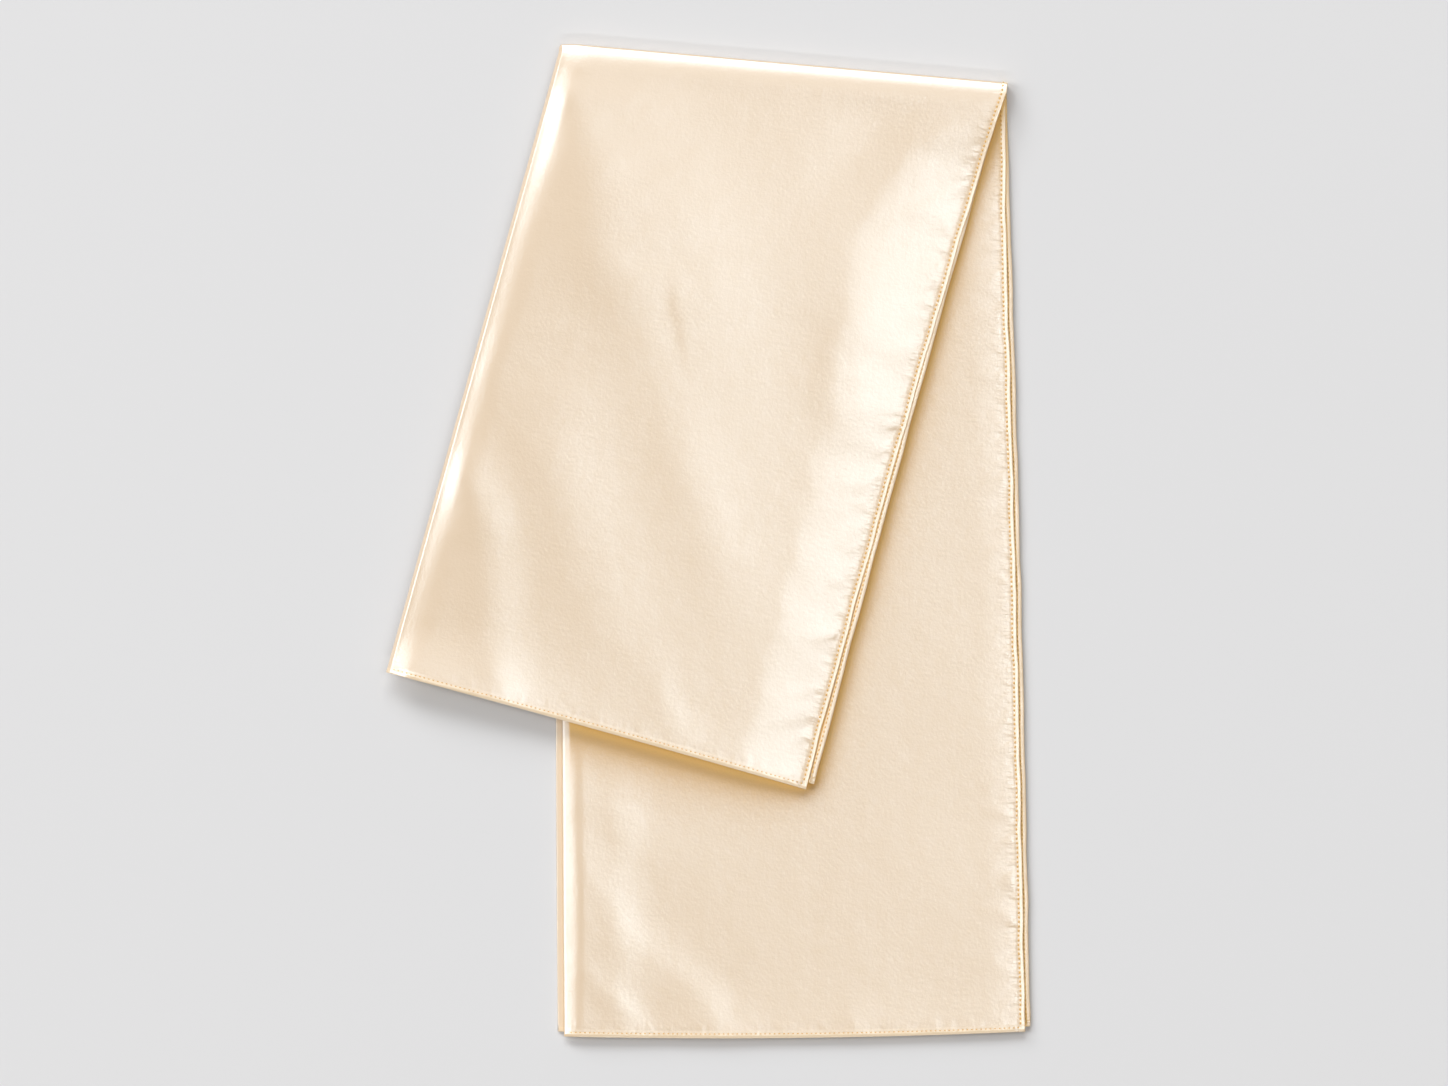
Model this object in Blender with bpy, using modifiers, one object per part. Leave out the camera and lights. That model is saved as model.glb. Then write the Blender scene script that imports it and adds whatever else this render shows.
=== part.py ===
"""Square satin scarf, folded like a concertina into a strip and doubled over once.

Blender 4.5. Metres, +Z up, +Y along the strip, origin under the middle of the
folded scarf's box, on the surface that it lies on.

The strip has four layers of cloth. Counted from the outside of the doubled strip
they are the outer layer, two inner layers that share one solid, and the core layer.
The strip lies on the surface as the lower run, turns over at the top fold and comes
back, slanting to the left, as the upper run. So the outer layer is the bottom of the
lower run and the top of the upper run, and the core layer is the top of the lower
run and the bottom of the upper run.

A point of the strip has three values, in millimetres. "across" is measured from the
left folds to the right hems, "along" is 0 at the top fold and 1 at a run's free end,
and "rise" is the distance from the middle plane between the two runs.
"""

import math

import bmesh
import bpy
from mathutils import Vector

MM = 0.001

# The scarf's outline on the surface, in millimetres: the two ends of the top fold,
# and the ends of each run's widest layer.
FOLD_LEFT = Vector((-80.8, 270.5))
FOLD_RIGHT = Vector((162.4, 248.8))
RUNS = {
    "lower": dict(end_left=(-81.8, -269.6), end_right=(175.0, -266.6)),
    "upper": dict(end_left=(-175.0, -71.5), end_right=(56.8, -136.4)),
}

# How far the middle of an outline's side bows to the right, and that of its end upwards.
BOWS = {
    "lower": dict(left=-1.4, right=1.2, end=-2.2),
    "upper": dict(left=0.0, right=-1.6, end=0.8),
}

# Thickness of a wall of cloth and of its hem, which is turned twice to the inside, and
# the space that neighbouring solids keep, also where a run meets the top fold.
CLOTH = 1.0
HEM_CLOTH = 1.3
GAP = 0.3
FOLD_SEAM = 0.7
HEM_WIDTH = 3.9
HEM_EDGE_ROUNDING = 0.35
INNER_EDGE_ROUNDING = 0.5

# Rise of each layer's outer face over the middle plane, and of the inner solid's faces.
TURN_RADIUS = 5.3
CORE_RISE = GAP
INNER_LOW_RISE = CORE_RISE + HEM_CLOTH + GAP
INNER_HIGH_RISE = TURN_RADIUS - HEM_CLOTH - GAP

# A layer turns in along its left side, where it folds into the next layer.
CURL_RADIUS = 1.6
CURL_ANGLE = math.radians(110)
CURL_STEPS = 4

# How far each layer's edges stay inside its run's outline, in millimetres.
INSETS = {
    ("lower", "outer"): dict(left=0.0, right_at_fold=0.0, right_at_end=0.0, end=2.7),
    ("lower", "core"): dict(left=3.4, right_at_fold=1.6, right_at_end=3.4, end=0.0),
    ("upper", "outer"): dict(left=0.0, right_at_fold=0.0, right_at_end=4.0, end=0.0),
    ("upper", "core"): dict(left=5.0, right_at_fold=1.6, right_at_end=0.0, end=3.4),
}
INNER_END_INSET = 4.6
INNER_CURL_CLEARANCE = 1.9

# Section of the two inner layers: where their right fold bends over, and the groove
# between their two left folds, the first two in radiuses of a left fold.
INNER_SHOULDER = 0.6
GROOVE_DEPTH = 3.0
GROOVE_MOUTH = 0.08

# The inner layers' own fold is hidden this far inside the right edge. Beyond it the
# covering layer sinks by SIDE_SINK towards the layer below, from one place to the other.
INNER_FOLD_INSET = 44.0
SIDE_SINK = dict(upper=2.0, lower=0.2)
SIDE_SINK_FROM = 45.0
SIDE_SINK_TO = 6.0
SINK_STARTS = 0.02
SINK_FULL = 0.16

# The upper run stands off the lower one away from the top fold. Towards its free end it
# rises further at the left and sinks at the right, and all along it slopes down to its
# left folds, over a share of its width.
STAND_OFF = 3.0
STAND_OFF_FULL = 0.35
LIFT_LEFT = 1.5
LIFT_RIGHT = -1.6
LIFT_FULL = 0.45
LEFT_SINK = 0.7
LEFT_SINK_SHARE = 0.26
LEFT_SINK_FULL = 0.12

# Largest soft ridges of the two layers that face up, and a hollow, in millimetres.
CREASES = {
    "upper": (
        dict(route=((-37, 223), (-26, 101), (-10, 19), (28, -76), (50, -136)), half_width=70, height=0.7),
        dict(route=((-71, 261), (-51, 196), (-32, 131)), half_width=35, height=1.5),
        dict(route=((112, 248), (74, 204), (33, 158)), half_width=18, height=-0.35),
        dict(route=((-87, 86), (-77, 19), (-43, -65)), half_width=26, height=0.9),
        dict(route=((-137, 46), (-119, -21), (-118, -75)), half_width=15, height=0.65),
    ),
    "lower": (
        dict(route=((-70, -133), (-32, -166), (-5, -178)), half_width=16, height=0.3),
        dict(route=((-73, -167), (-37, -224), (7, -266)), half_width=18, height=0.6),
    ),
}
CREASE_END_TAPER = 0.35

# Grid steps across and along the layers that face up, and the plain ones.
FACE_STEPS = dict(lower=(20, 34), upper=(19, 28))
PLAIN_STEPS = (8, 10)
FOLD_ANGLE_STEPS = 8
FOLD_ACROSS_STEPS = 6

SATIN = (0.90, 0.80, 0.67, 1.0)
SATIN_SHADED = (0.80, 0.66, 0.48, 1.0)
HEM_SATIN = (0.86, 0.74, 0.58, 1.0)


def smooth_step(value):
    value = min(max(value, 0.0), 1.0)
    return value * value * (3.0 - 2.0 * value)


def mix(start, end, share):
    return start + (end - start) * share


def bow_shape(share):
    """A parabola that is 0 at both ends and 1 in the middle."""
    return 4.0 * share * (1.0 - share)


# Directions on the surface: along the top fold to the right, and beyond the fold.
FOLD_ALONG = (FOLD_RIGHT - FOLD_LEFT).normalized()
FOLD_OUT = Vector((-FOLD_ALONG.y, FOLD_ALONG.x))
AXIS_LEFT = FOLD_LEFT - FOLD_OUT * TURN_RADIUS
AXIS_RIGHT = FOLD_RIGHT - FOLD_OUT * TURN_RADIUS


def side_point(run, side, along):
    """A point on a run's left or right outline, with the outline's slight bow."""
    start = AXIS_LEFT if side == "left" else AXIS_RIGHT
    point = mix(start, Vector(RUNS[run]["end_" + side]), along)
    point.x += BOWS[run][side] * bow_shape(along)
    return point


def run_length(run):
    return (Vector(RUNS[run]["end_left"]) - AXIS_LEFT).length


def layer_edge(run, layer, side, along):
    """A layer's own left or right edge, inside its run's outline."""
    inset = INSETS[run, layer]
    left = side_point(run, "left", along)
    right = side_point(run, "right", along)
    across = (right - left).normalized()
    if side == "left":
        return left + across * inset["left"]
    return right - across * mix(inset["right_at_fold"], inset["right_at_end"], along)


def end_along(run, inset):
    """The value of "along" that lies an inset before a run's free end."""
    return 1.0 - inset / run_length(run)


def crease_height(crease, spot):
    """Height of one soft ridge over a spot: a rounded bank that fades out at both ends."""
    route = [Vector(point) for point in crease["route"]]
    lengths = [(b - a).length for a, b in zip(route, route[1:])]
    total = sum(lengths)
    nearest = None
    passed = 0.0
    for start, end, length in zip(route, route[1:], lengths):
        share = min(max((spot - start).dot(end - start) / length**2, 0.0), 1.0)
        distance = (spot - mix(start, end, share)).length
        if nearest is None or distance < nearest[0]:
            nearest = (distance, (passed + share * length) / total)
        passed += length
    distance, place = nearest
    taper = smooth_step(min(place, 1.0 - place) / CREASE_END_TAPER)
    return crease["height"] * taper * math.exp(-((distance / crease["half_width"]) ** 2))


def relief(run, spot):
    return sum(crease_height(crease, spot) for crease in CREASES[run])


def lift(across_share, along):
    """How far the upper run stands off the lower run."""
    left_sink = LEFT_SINK * max(0.0, 1.0 - across_share / LEFT_SINK_SHARE) ** 2
    stand_off = STAND_OFF * smooth_step(along / STAND_OFF_FULL)
    end_lift = mix(LIFT_LEFT, LIFT_RIGHT, across_share) * smooth_step(along / LIFT_FULL)
    return stand_off + end_lift - left_sink * smooth_step(along / LEFT_SINK_FULL)


def side_sink(run, from_right, along):
    """How far the covering layer sinks beside the hidden inner fold."""
    side = smooth_step((SIDE_SINK_FROM - from_right) / (SIDE_SINK_FROM - SIDE_SINK_TO))
    start = smooth_step((along - SINK_STARTS) / (SINK_FULL - SINK_STARTS))
    return SIDE_SINK[run] * side * start


def place(run, spot, across_share, along, rise):
    """A point of a run in space, from its spot on the surface and its rise."""
    bowed = spot.y + BOWS[run]["end"] * bow_shape(across_share) * along**2
    if run == "lower":
        return Vector((spot.x, bowed, TURN_RADIUS - rise))
    return Vector((spot.x, bowed, TURN_RADIUS + rise + lift(across_share, along)))


def layer_point(run, layer, across_share, along, curl=0.0):
    """A point on a layer's outer face; across_share is 0 at the left fold and 1 at the
    right edge, and curl is the angle turned about the left fold."""
    left = layer_edge(run, layer, "left", along)
    right = layer_edge(run, layer, "right", along)
    width = (right - left).length
    flat_start = CURL_RADIUS / width
    share = mix(flat_start, 1.0, across_share)
    spot = mix(left, right, share) - (right - left).normalized() * CURL_RADIUS * math.sin(curl)
    faces_up = (run == "lower") == (layer == "core")
    rise = CORE_RISE if layer == "core" else TURN_RADIUS
    inward = 1.0 if layer == "core" else -1.0
    rise += inward * CURL_RADIUS * (1.0 - math.cos(curl))
    raised = 0.0
    if faces_up:
        shape = relief(run, spot) - side_sink(run, (1.0 - share) * width, along)
        raised = shape * math.cos(min(curl, math.pi / 2))
    point = place(run, spot, share, along, rise)
    point.z += raised
    return point


def satin(name, colour):
    material = bpy.data.materials.new(name)
    material.use_nodes = True
    shader = material.node_tree.nodes["Principled BSDF"]
    shader.inputs["Base Color"].default_value = colour
    shader.inputs["Roughness"].default_value = 0.38
    shader.inputs["Metallic"].default_value = 0.0
    material.diffuse_color = colour
    return material


def finish_object(name, maker, material):
    """Make a named object of a bmesh, in millimetres, with its material."""
    mesh = bpy.data.meshes.new(name)
    bmesh.ops.scale(maker, vec=(MM, MM, MM), verts=maker.verts)
    maker.to_mesh(mesh)
    maker.free()
    mesh.materials.append(material)
    mesh.shade_smooth()
    part = bpy.data.objects.new(name, mesh)
    scarf.objects.link(part)
    return part


def wall(name, columns, rows, point, thickness, material):
    """A wall of cloth: a grid bent to its outer face and thickened to the inside.

    point(column, row) gives the outer face, with columns running to the right and rows
    away from the free end as seen from outside."""
    maker = bmesh.new()
    bmesh.ops.create_grid(maker, x_segments=columns, y_segments=rows, size=0.5)
    for vertex in maker.verts:
        column = round((vertex.co.x + 0.5) * columns)
        row = round((vertex.co.y + 0.5) * rows)
        vertex.co = point(column, row)
    part = finish_object(name, maker, material)
    solidify = part.modifiers.new("thickness", "SOLIDIFY")
    solidify.thickness = thickness * MM
    solidify.offset = -1.0
    solidify.use_even_offset = True
    return part


def round_edges(part, width):
    bevel = part.modifiers.new("rounded edges", "BEVEL")
    bevel.width = width * MM
    bevel.segments = 1
    bevel.limit_method = "ANGLE"
    bevel.angle_limit = math.radians(60)


def loft(name, sections, material):
    """One closed solid through like sections, each a closed ring of points."""
    maker = bmesh.new()
    rings = [[maker.verts.new(point) for point in section] for section in sections]
    for near, far in zip(rings, rings[1:]):
        for index in range(len(near)):
            after = (index + 1) % len(near)
            maker.faces.new((near[index], near[after], far[after], far[index]))
    maker.faces.new(rings[0])
    maker.faces.new(rings[-1])
    bmesh.ops.recalc_face_normals(maker, faces=maker.faces)
    return finish_object(name, maker, material)


def across_of(column, columns):
    """across_share and curl of a grid column; the first CURL_STEPS columns are the curl."""
    if column < CURL_STEPS:
        return 0.0, CURL_ANGLE * (1.0 - column / CURL_STEPS)
    return (column - CURL_STEPS) / (columns - CURL_STEPS), 0.0


def hem_share(run, layer, along, width):
    """across_share at a distance inside a layer's right edge."""
    left = layer_edge(run, layer, "left", along)
    right = layer_edge(run, layer, "right", along)
    return 1.0 - width / ((right - left).length - CURL_RADIUS)


def run_layer(run, layer, label):
    """A layer of a run, with the turned hems along its right side and its free end."""
    faces_up = (run == "lower") == (layer == "core")
    flat_columns, rows = FACE_STEPS[run] if faces_up else PLAIN_STEPS
    columns = flat_columns + CURL_STEPS
    start = FOLD_SEAM / run_length(run)
    edge = end_along(run, INSETS[run, layer]["end"])
    hem_top = edge - HEM_WIDTH / run_length(run)
    panel_end = hem_top - GAP / run_length(run)

    def outward(column, count):
        """Columns run to the right as seen from outside, so those that face down turn."""
        return column if faces_up else count - column

    def panel_point(column, row):
        along = mix(panel_end, start, row / rows)
        share, curl = across_of(outward(column, columns), columns)
        share *= hem_share(run, layer, along, HEM_WIDTH + GAP)
        return layer_point(run, layer, share, along, curl)

    def side_hem_point(column, row):
        along = mix(panel_end, start, row / rows)
        share = hem_share(run, layer, along, HEM_WIDTH * (1.0 - outward(column, 2) / 2))
        return layer_point(run, layer, share, along)

    def end_hem_point(column, row):
        share, curl = across_of(outward(column, columns), columns)
        return layer_point(run, layer, share, mix(edge, hem_top, row / 2), curl)

    wall(f"{run}_{label}_panel", columns, rows, panel_point, CLOTH, cloth)
    side = wall(f"{run}_{label}_side_hem", 2, rows, side_hem_point, HEM_CLOTH, hem_cloth)
    end = wall(f"{run}_{label}_end_hem", columns, 2, end_hem_point, HEM_CLOTH, hem_cloth)
    round_edges(side, HEM_EDGE_ROUNDING)
    round_edges(end, HEM_EDGE_ROUNDING)


def inner_ring(lower_left, upper_left, right):
    """Section of the two inner layers as (across, rise): one fold at the right, and two
    folds with a groove between them at the left. The first layer is next to the core."""
    low = INNER_LOW_RISE
    high = INNER_HIGH_RISE
    middle = (low + high) / 2
    nose = (high - low) / 4
    shoulder = INNER_SHOULDER * nose
    deepest = max(lower_left, upper_left) + GROOVE_DEPTH * nose
    right_fold = [
        (right - shoulder, low + shoulder),
        (right, middle),
        (right - shoulder, high - shoulder),
    ]
    left_folds = [
        (upper_left, high - nose),
        (upper_left + nose, middle + GROOVE_MOUTH),
        (deepest, middle),
        (lower_left + nose, middle - GROOVE_MOUTH),
        (lower_left, low + nose),
    ]
    steps = range(PLAIN_STEPS[0] + 1)
    flat_right = right - 2 * nose
    shares = [step / PLAIN_STEPS[0] for step in steps]
    top = [(mix(flat_right, upper_left + nose, share), high) for share in shares]
    bottom = [(mix(lower_left + nose, flat_right, share), low) for share in shares]
    return right_fold + top + left_folds + bottom


def run_inner_layers(run):
    """The two hidden layers of a run as one solid, folded at both sides."""
    last = end_along(run, INNER_END_INSET)
    first = FOLD_SEAM / run_length(run)
    sections = []
    rows = PLAIN_STEPS[1]
    for row in range(rows + 1):
        along = mix(first, last, row / rows)
        left = side_point(run, "left", along)
        right = side_point(run, "right", along)
        width = (right - left).length
        near_core = INSETS[run, "core"]["left"] + INNER_CURL_CLEARANCE
        near_outer = INSETS[run, "outer"]["left"] + INNER_CURL_CLEARANCE
        ring = inner_ring(near_core, near_outer, width - INNER_FOLD_INSET)
        section = []
        for across, rise in ring:
            share = across / width
            section.append(place(run, mix(left, right, share), share, along, rise))
        sections.append(section)
    loft(f"{run}_inner_layers", sections, shaded_cloth)


def fold_point(across, rise, angle):
    """A point of the top fold; angle is -90 degrees at the lower run, 90 at the upper."""
    spot = AXIS_LEFT + FOLD_ALONG * across + FOLD_OUT * rise * math.cos(angle)
    return Vector((spot.x, spot.y, TURN_RADIUS + rise * math.sin(angle)))


def fold_wrap(name, left, right, outer_rise, thickness, material, curled=False):
    """A layer, or two together, wrapped round the top fold as half a tube. A curled wrap
    turns in at its left end like the layers that it joins."""
    curl_steps = CURL_STEPS if curled else 0
    columns = FOLD_ACROSS_STEPS + curl_steps

    def wrap_point(column, row):
        share = max(column - curl_steps, 0) / FOLD_ACROSS_STEPS
        curl = CURL_ANGLE * (1.0 - min(column / curl_steps, 1.0)) if curled else 0.0
        flat_left = left + CURL_RADIUS if curled else left
        across = mix(flat_left, right, share) - CURL_RADIUS * math.sin(curl)
        rise = outer_rise - CURL_RADIUS * (1.0 - math.cos(curl))
        return fold_point(across, rise, math.pi * (0.5 - row / FOLD_ANGLE_STEPS))

    return wall(name, columns, FOLD_ANGLE_STEPS, wrap_point, thickness, material)


def half_round(name, left, right, radius, material):
    """The innermost layer, doubled over on itself: a half-round bar along the fold."""
    sections = []
    for across in (left, right):
        section = []
        for step in range(FOLD_ANGLE_STEPS + 1):
            angle = math.pi * (step / FOLD_ANGLE_STEPS - 0.5)
            section.append(fold_point(across, radius, angle))
        sections.append(section)
    loft(name, sections, material)


def top_fold():
    """The strip's layers where they turn over: outer, inner and core, one in another."""
    width = (AXIS_RIGHT - AXIS_LEFT).length
    core_left = (INSETS["lower", "core"]["left"] + INSETS["upper", "core"]["left"]) / 2
    core_right = width - INSETS["lower", "core"]["right_at_fold"]
    inner_cloth = INNER_HIGH_RISE - INNER_LOW_RISE
    hem_left = width - HEM_WIDTH
    fold_wrap("top_fold_outer_layer", 0.0, hem_left - GAP, TURN_RADIUS, CLOTH, cloth, curled=True)
    inner = fold_wrap(
        "top_fold_inner_layers",
        INNER_CURL_CLEARANCE,
        width - INNER_FOLD_INSET,
        INNER_HIGH_RISE,
        inner_cloth,
        shaded_cloth,
    )
    round_edges(inner, INNER_EDGE_ROUNDING)
    hem = fold_wrap("top_fold_outer_side_hem", hem_left, width, TURN_RADIUS, HEM_CLOTH, hem_cloth)
    round_edges(hem, HEM_EDGE_ROUNDING)
    half_round("top_fold_core_layer", core_left, core_right, CORE_RISE + CLOTH, shaded_cloth)


for old_object in list(bpy.data.objects):
    bpy.data.objects.remove(old_object, do_unlink=True)
scarf = bpy.data.collections.new("folded_square_scarf")
bpy.context.scene.collection.children.link(scarf)
cloth = satin("champagne satin", SATIN)
shaded_cloth = satin("champagne satin, hidden layers", SATIN_SHADED)
hem_cloth = satin("champagne satin, turned hem", HEM_SATIN)

run_layer("lower", "outer", "bottom")
run_inner_layers("lower")
run_layer("lower", "core", "top")
run_layer("upper", "core", "bottom")
run_inner_layers("upper")
run_layer("upper", "outer", "top")
top_fold()
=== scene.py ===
"""Satin square scarf, folded like a concertina into a strip and doubled over once.

The whole scarf is two long cloths that meet inside, at a fold that doesn't show: the
outer cloth is the outer layer and the layer folded in from it, and the inner cloth is
the core layer and the layer folded in from that. Each runs from the lower run's free
end, over the top fold, to the upper run's free end.

Lengths are millimetres until a mesh is made. A point of a cloth comes from a column,
which says where it is across the strip, and a row, which says where it is along it.
"""

import math
import random

import bmesh
import bpy
import numpy as np
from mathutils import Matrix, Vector


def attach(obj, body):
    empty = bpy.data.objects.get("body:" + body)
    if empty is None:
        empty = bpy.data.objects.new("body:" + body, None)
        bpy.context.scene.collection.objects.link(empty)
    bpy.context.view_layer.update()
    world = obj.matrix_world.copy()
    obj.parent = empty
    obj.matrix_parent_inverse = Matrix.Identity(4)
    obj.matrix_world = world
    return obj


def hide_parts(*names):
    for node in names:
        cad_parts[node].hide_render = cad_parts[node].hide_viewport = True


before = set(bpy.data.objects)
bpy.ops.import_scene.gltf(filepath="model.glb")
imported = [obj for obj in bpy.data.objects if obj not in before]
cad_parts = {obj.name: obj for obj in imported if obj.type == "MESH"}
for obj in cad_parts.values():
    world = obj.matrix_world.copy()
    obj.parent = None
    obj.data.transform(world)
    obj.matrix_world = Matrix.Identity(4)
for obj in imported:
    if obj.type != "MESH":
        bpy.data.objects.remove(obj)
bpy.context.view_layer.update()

MM = 0.001

# Outline of the strip on the floor, the same as the construction's.
FOLD_LEFT = np.array((-80.8, 270.5))
FOLD_RIGHT = np.array((162.4, 248.8))
RUN_ENDS = {
    "lower": dict(left=np.array((-81.8, -269.6)), right=np.array((175.0, -266.6))),
    "upper": dict(left=np.array((-175.0, -71.5)), right=np.array((56.8, -136.4))),
}
BOWS = {
    "lower": dict(left=-1.4, right=1.2, end=-2.2),
    "upper": dict(left=0.0, right=-1.6, end=0.8),
}
TURN_RADIUS = 5.3

# The upper run stands off the lower one away from the top fold. At its free end it rises
# further at the left, sinks at the right, and all along it slopes down to its left folds,
# over a share of its width.
STAND_OFF = 3.0
STAND_OFF_FULL = 0.35
LIFT_LEFT = 1.5
LIFT_RIGHT = -1.6
LIFT_FULL = 0.45
LEFT_SINK = 0.7
LEFT_SINK_SHARE = 0.26
LEFT_SINK_FULL = 0.12

# Thickness of the satin, and the middle of each layer as a rise over the middle plane
# between the two runs, which stay a little apart inside the top fold.
SATIN = 0.26
CORE_GAP = 0.3
FACE_RISE = dict(outer=TURN_RADIUS - SATIN / 2, inner=CORE_GAP + SATIN / 2)
BACK_RISE = dict(outer=3.3, inner=2.4)
OUTWARD = dict(outer=1.0, inner=-1.0)

# The run on which a cloth's face shows.
FACE_RUN = dict(outer="upper", inner="lower")

# How far each cloth's edges stay inside the strip's outline.
INSETS = {
    ("outer", "lower"): dict(left=0.0, right=0.0, end=2.7),
    ("outer", "upper"): dict(left=0.0, right=4.0, end=0.0),
    ("inner", "lower"): dict(left=3.4, right=2.7, end=0.0),
    ("inner", "upper"): dict(left=5.0, right=0.0, end=3.4),
}

# The right insets at the top fold. On the lower run they reach their full size within a
# share of its length, and on the upper run they grow with a power of the share passed.
RIGHT_AT_FOLD = dict(outer=0.0, inner=1.0)
RIGHT_SETTLES = 0.2
RIGHT_SLIPS = 0.55
EDGE_WOBBLE = 0.3
EDGE_WAVE = 60.0
EDGE_WOBBLE_FULL = 0.1

# The fold between the two cloths' hidden layers.
INNER_FOLD_INSET = 44.0
INNER_FOLD_ROLL = (BACK_RISE["outer"] - BACK_RISE["inner"]) / 2

# Turned hems: the radius of the roll at the edge, the width, how far the hem stands proud
# and over what width it rises, and how it falls to its edge.
SIDE_ROLL = 0.2
END_ROLL = 0.2
HEM_WIDTH = 3.3
HEM_PROUD = 0.14
HEM_RISE_WIDTH = 1.2
HEM_FALL = dict(side=0.16, end=0.3)
HEM_FALL_WIDTH = dict(side=2.1, end=1.4)
HEM_FALL_POWER = dict(side=1.2, end=1.1)
EDGE_FALL = dict(lower=0.6, upper=0.0)
EDGE_FALL_WIDTH = 20.0

# The side hem of the layer behind each cloth's face curls towards the hem over it: how
# far, near the top fold and away from it, and how steeply it turns back over its crest.
HEM_CURL = dict(
    outer=dict(first=3.1, last=3.1, turns=0.22),
    inner=dict(first=1.2, last=1.75, turns=0.14),
)
HEM_CURL_WIDTH = 40.0
HEM_CURL_CREST = 4.0
HEM_CURL_WOBBLE = 0.07
HEM_CURL_WAVE = 110.0
HEM_CURL_STARTS = 60.0

# The seams: a groove in the cloth, and threads that stand on it by a share of their
# radius, or lie sunk in it at the free ends, where the share is negative.
GROOVE_DEPTH = 0.07
GROOVE_WIDTH = 0.45
STITCH_INSET = 2.3
STITCH_PITCH = 2.5
STITCH_LENGTH = 1.2
STITCH_RADIUS = 0.34
STITCH_STANDS = 0.35
END_STITCH_STANDS = -0.45
STITCH_SIDES = 6
STITCH_SHAPE = ((0.0, 0.35), (0.12, 0.8), (0.35, 1.0), (0.65, 1.0), (0.88, 0.8), (1.0, 0.35))
STITCH_SLANT = 0.12
PITCH_UNEVEN = (0.96, 1.04)
SEAM_STEP = 0.8
END_SEAM_START = 2.0
END_SEAM_POINTS = 240

# The left folds: a soft fall over some width, then a steep bevel, then a tight nose.
NOSE_RADIUS = 0.35
NOSE_START = math.radians(45)
NOSE_STEPS = 6
LEFT_FOLDS = {
    ("outer", "upper"): dict(fall=1.95, width=20.0, bevel=1.6, drop=2.2),
    ("outer", "lower"): dict(fall=0.3, width=4.0, bevel=0.8, drop=0.7),
    ("inner", "upper"): dict(fall=0.2, width=4.0, bevel=0.6, drop=0.5),
    ("inner", "lower"): dict(fall=1.0, width=9.0, bevel=1.2, drop=0.2),
}
BEVEL_CORNER = 0.35
BACK_FALL_WIDTH = 12.0
FALL_WOBBLE = 0.12
FALL_WAVE = 90.0

# The top layer of the upper run sinks towards its hem past the hidden fold inside, over a
# width that comes and goes in lobes along the hem. Places are from the top fold.
SINK_LOBES = (
    dict(place=0, width=20), dict(place=18, width=25), dict(place=38, width=44),
    dict(place=60, width=50), dict(place=82, width=60), dict(place=100, width=54),
    dict(place=118, width=49), dict(place=134, width=51), dict(place=152, width=46),
    dict(place=172, width=41), dict(place=190, width=46), dict(place=212, width=40),
    dict(place=229, width=43), dict(place=243, width=38), dict(place=256, width=42),
    dict(place=270, width=39), dict(place=298, width=41), dict(place=315, width=38),
    dict(place=355, width=43),
)
SINK_DEPTH = dict(first=3.0, last=2.5)
SINK_EASES = (100.0, 170.0)
SINK_TO = 5.0
SINK_POWER = 1.5
SINK_FULL = 0.16

# Each run's free end rises a little towards its hem.
END_RISE = dict(upper=0.6, lower=0.45)
END_RISE_WIDTH = 30.0

# The top fold is squarer than a half circle, and its upper side slopes down to it.
FOLD_SQUARE = 4.0
FOLD_SLACK = 2.9
FOLD_SLACK_WIDTH = 14.0

# Steps of the two cloths' meshes: over the layer that shows, along the run that a cloth
# hides, around the folds and hems, and closer where the relief is finer.
FINE_STEP = 2.6
HIDDEN_STEP = 14.0
FOLD_STEPS = 32
ROLL_STEPS = 6
FACE_SPAN = 205.0
BESIDE_HEM = dict(close=(5.6, 0.5), near=(12.0, 1.0), far=(30.0, 0.75 * FINE_STEP))
BESIDE_LEFT = dict(close=(3.0, 0.3), near=(12.0, 0.9))
BACK_PLACES = (2.0, 4.0, 7.0, 11.0)
BACK_STEPS = 8
BESIDE_FOLD = (16.0, 2.0)
BESIDE_END = dict(near=(16.0, 1.5), close=6.0)
END_STEPS = dict(shown=0.5, hidden=1.5)

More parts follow.
